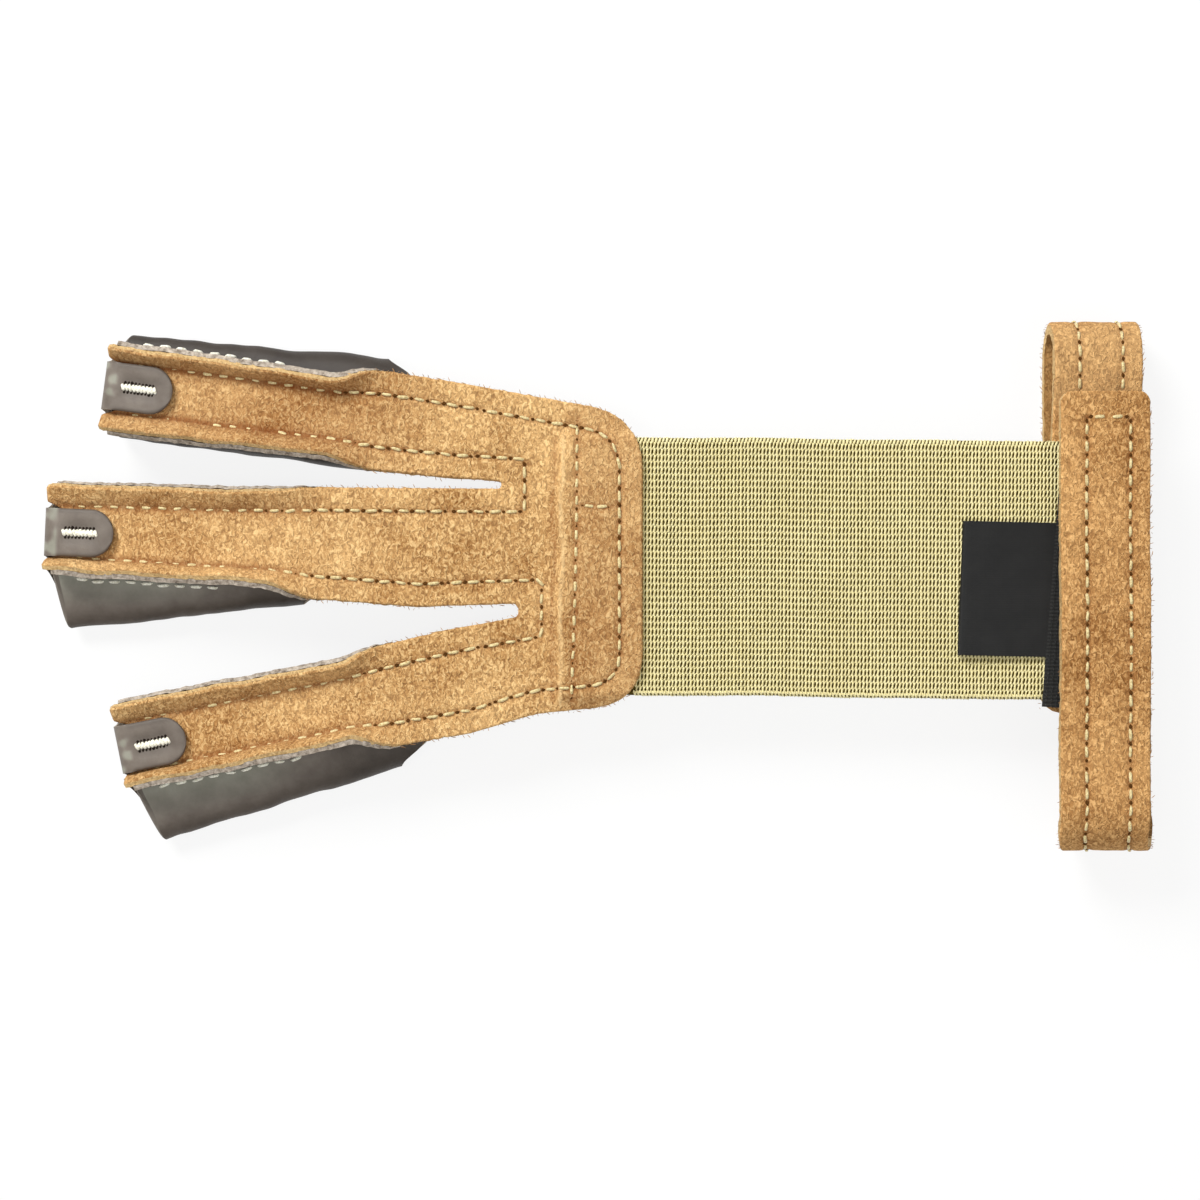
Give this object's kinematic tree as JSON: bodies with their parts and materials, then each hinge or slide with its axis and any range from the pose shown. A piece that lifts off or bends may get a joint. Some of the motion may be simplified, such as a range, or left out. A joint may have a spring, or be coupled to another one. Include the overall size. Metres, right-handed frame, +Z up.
{
  "type": "archery shooting glove",
  "caption": "Suede shooting glove: finger straps with leather fingertip stalls, an elastic back band and a hook-and-loop wrist strap.",
  "frame": {"origin": "middle of the glove's length and of the wrist loop's span, on the surface it lies on", "axes": "+X from the fingertips to the wrist, +Y from the index finger to the ring finger, +Z up from the surface, with the glove's stalls down"},
  "size_m": [0.2149, 0.104, 0.0196],
  "materials": {
    "suede": "napped suede",
    "suede_lining": "napped split, flesh side",
    "stall_leather": "smooth, waxed",
    "thread": "twisted polyester",
    "elastic": "woven webbing",
    "hook_tape": "woven with moulded hooks",
    "loop_tape": "brushed loops",
    "label": "woven satin"
  },
  "bodies": {
    "hand": {"hand_panel": "suede", "hand_lining": "suede_lining", "elastic_band": "elastic"},
    "index_finger": {"index_strap": "suede", "index_lining": "suede_lining", "index_stall": "stall_leather", "index_bar_tack": "thread"},
    "middle_finger": {"middle_strap": "suede", "middle_lining": "suede_lining", "middle_stall": "stall_leather", "middle_bar_tack": "thread"},
    "ring_finger": {"ring_strap": "suede", "ring_lining": "suede_lining", "ring_stall": "stall_leather", "ring_bar_tack": "thread"},
    "wrist": {"wrist_strap_suede": "suede", "wrist_strap_lining": "suede_lining", "hook_tape": "hook_tape", "label": "label"},
    "flap": {"flap_suede": "suede", "flap_lining": "suede_lining", "loop_tape": "loop_tape"}
  },
  "joints": [
    {"name": "index_bend", "type": "hinge", "parent": "hand", "child": "index_finger", "pos_m": [-0.02546, -0.0187, 0.0131], "axis": [0.1994, -0.9799, 0], "range_deg": [-30, 70]},
    {"name": "middle_bend", "type": "hinge", "parent": "hand", "child": "middle_finger", "pos_m": [-0.03346, 0.0073, 0.0131], "axis": [-0.0436, -0.999, 0], "range_deg": [-30, 70]},
    {"name": "ring_bend", "type": "hinge", "parent": "hand", "child": "ring_finger", "pos_m": [-0.02746, 0.0302, 0.0131], "axis": [-0.1323, -0.9912, 0], "range_deg": [-30, 70]},
    {"name": "elastic_stretch", "type": "slide", "parent": "hand", "child": "wrist", "axis": [1, 0, 0], "range_m": [0, 0.03], "stiffness_N_per_m": 500, "deforming": ["elastic_band"]},
    {"name": "strap_peel", "type": "hinge", "parent": "wrist", "child": "flap", "pos_m": [0.09884, -0.029, 0.0184], "axis": [1, 0, 0], "range_deg": [0, 100]}
  ]
}
